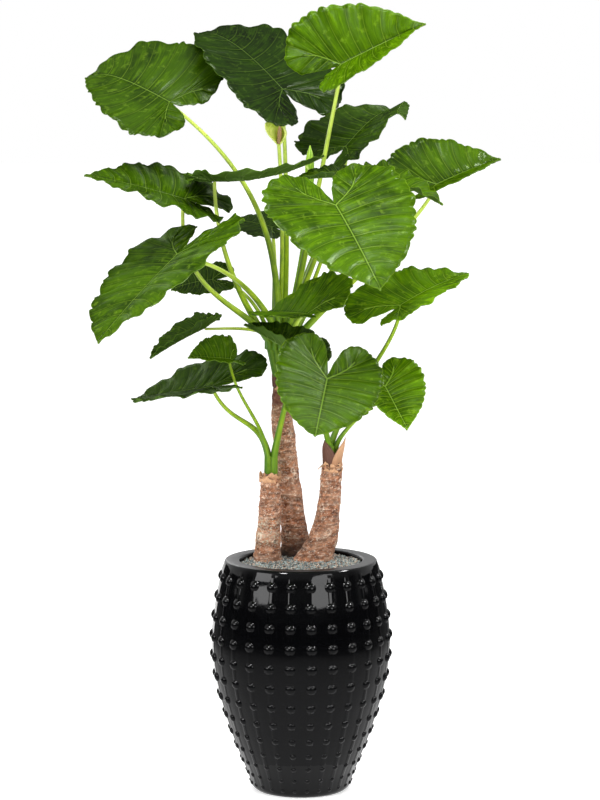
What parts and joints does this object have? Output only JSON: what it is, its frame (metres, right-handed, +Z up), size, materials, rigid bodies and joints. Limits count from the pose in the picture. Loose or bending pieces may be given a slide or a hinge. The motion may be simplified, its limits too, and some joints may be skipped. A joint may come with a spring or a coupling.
{
  "type": "potted alocasia",
  "caption": "Tall elephant-ear alocasia with broad ruffled leaves on long stalks and ringed woody stems, planted in a glossy black studded pot.",
  "frame": {"origin": "middle of the pot's foot, on the surface that it stands on", "axes": "+Z up along the pot's axis, -Y towards the front view, +X to the right of it"},
  "size_m": [1.0108, 0.7926, 1.8844],
  "materials": {
    "glaze": "polished",
    "soil": "matte",
    "gravel": "matte",
    "bark": "matte",
    "leaf": "satin",
    "young_leaf": "satin",
    "flower": "satin",
    "sheath": "satin"
  },
  "bodies": {
    "root": {"pot": "glaze", "soil": "soil", "gravel": "gravel", "stem_left": "bark", "stem_middle": "bark", "stem_right": "bark", "leaf_top_left": "leaf", "leaf_top_middle": "leaf", "leaf_top_right": "leaf", "leaf_upper_dark": "leaf", "leaf_upper_right": "leaf", "leaf_ruffled": "leaf", "leaf_edge_on": "leaf", "leaf_front_middle": "leaf", "leaf_long_left": "leaf", "leaf_front_left": "leaf", "leaf_back_grey": "leaf", "leaf_small_back_left": "leaf", "leaf_narrow_left": "leaf", "leaf_small_left": "leaf", "leaf_low_left": "leaf", "leaf_low_middle": "leaf", "leaf_low_front": "leaf", "leaf_small_right": "leaf", "leaf_right_middle": "leaf", "leaf_centre_left": "leaf", "leaf_centre_back": "leaf", "young_leaf": "young_leaf", "flower": "flower", "crown_left": "sheath", "crown_middle": "sheath", "crown_right": "sheath"}
  },
  "joints": []
}
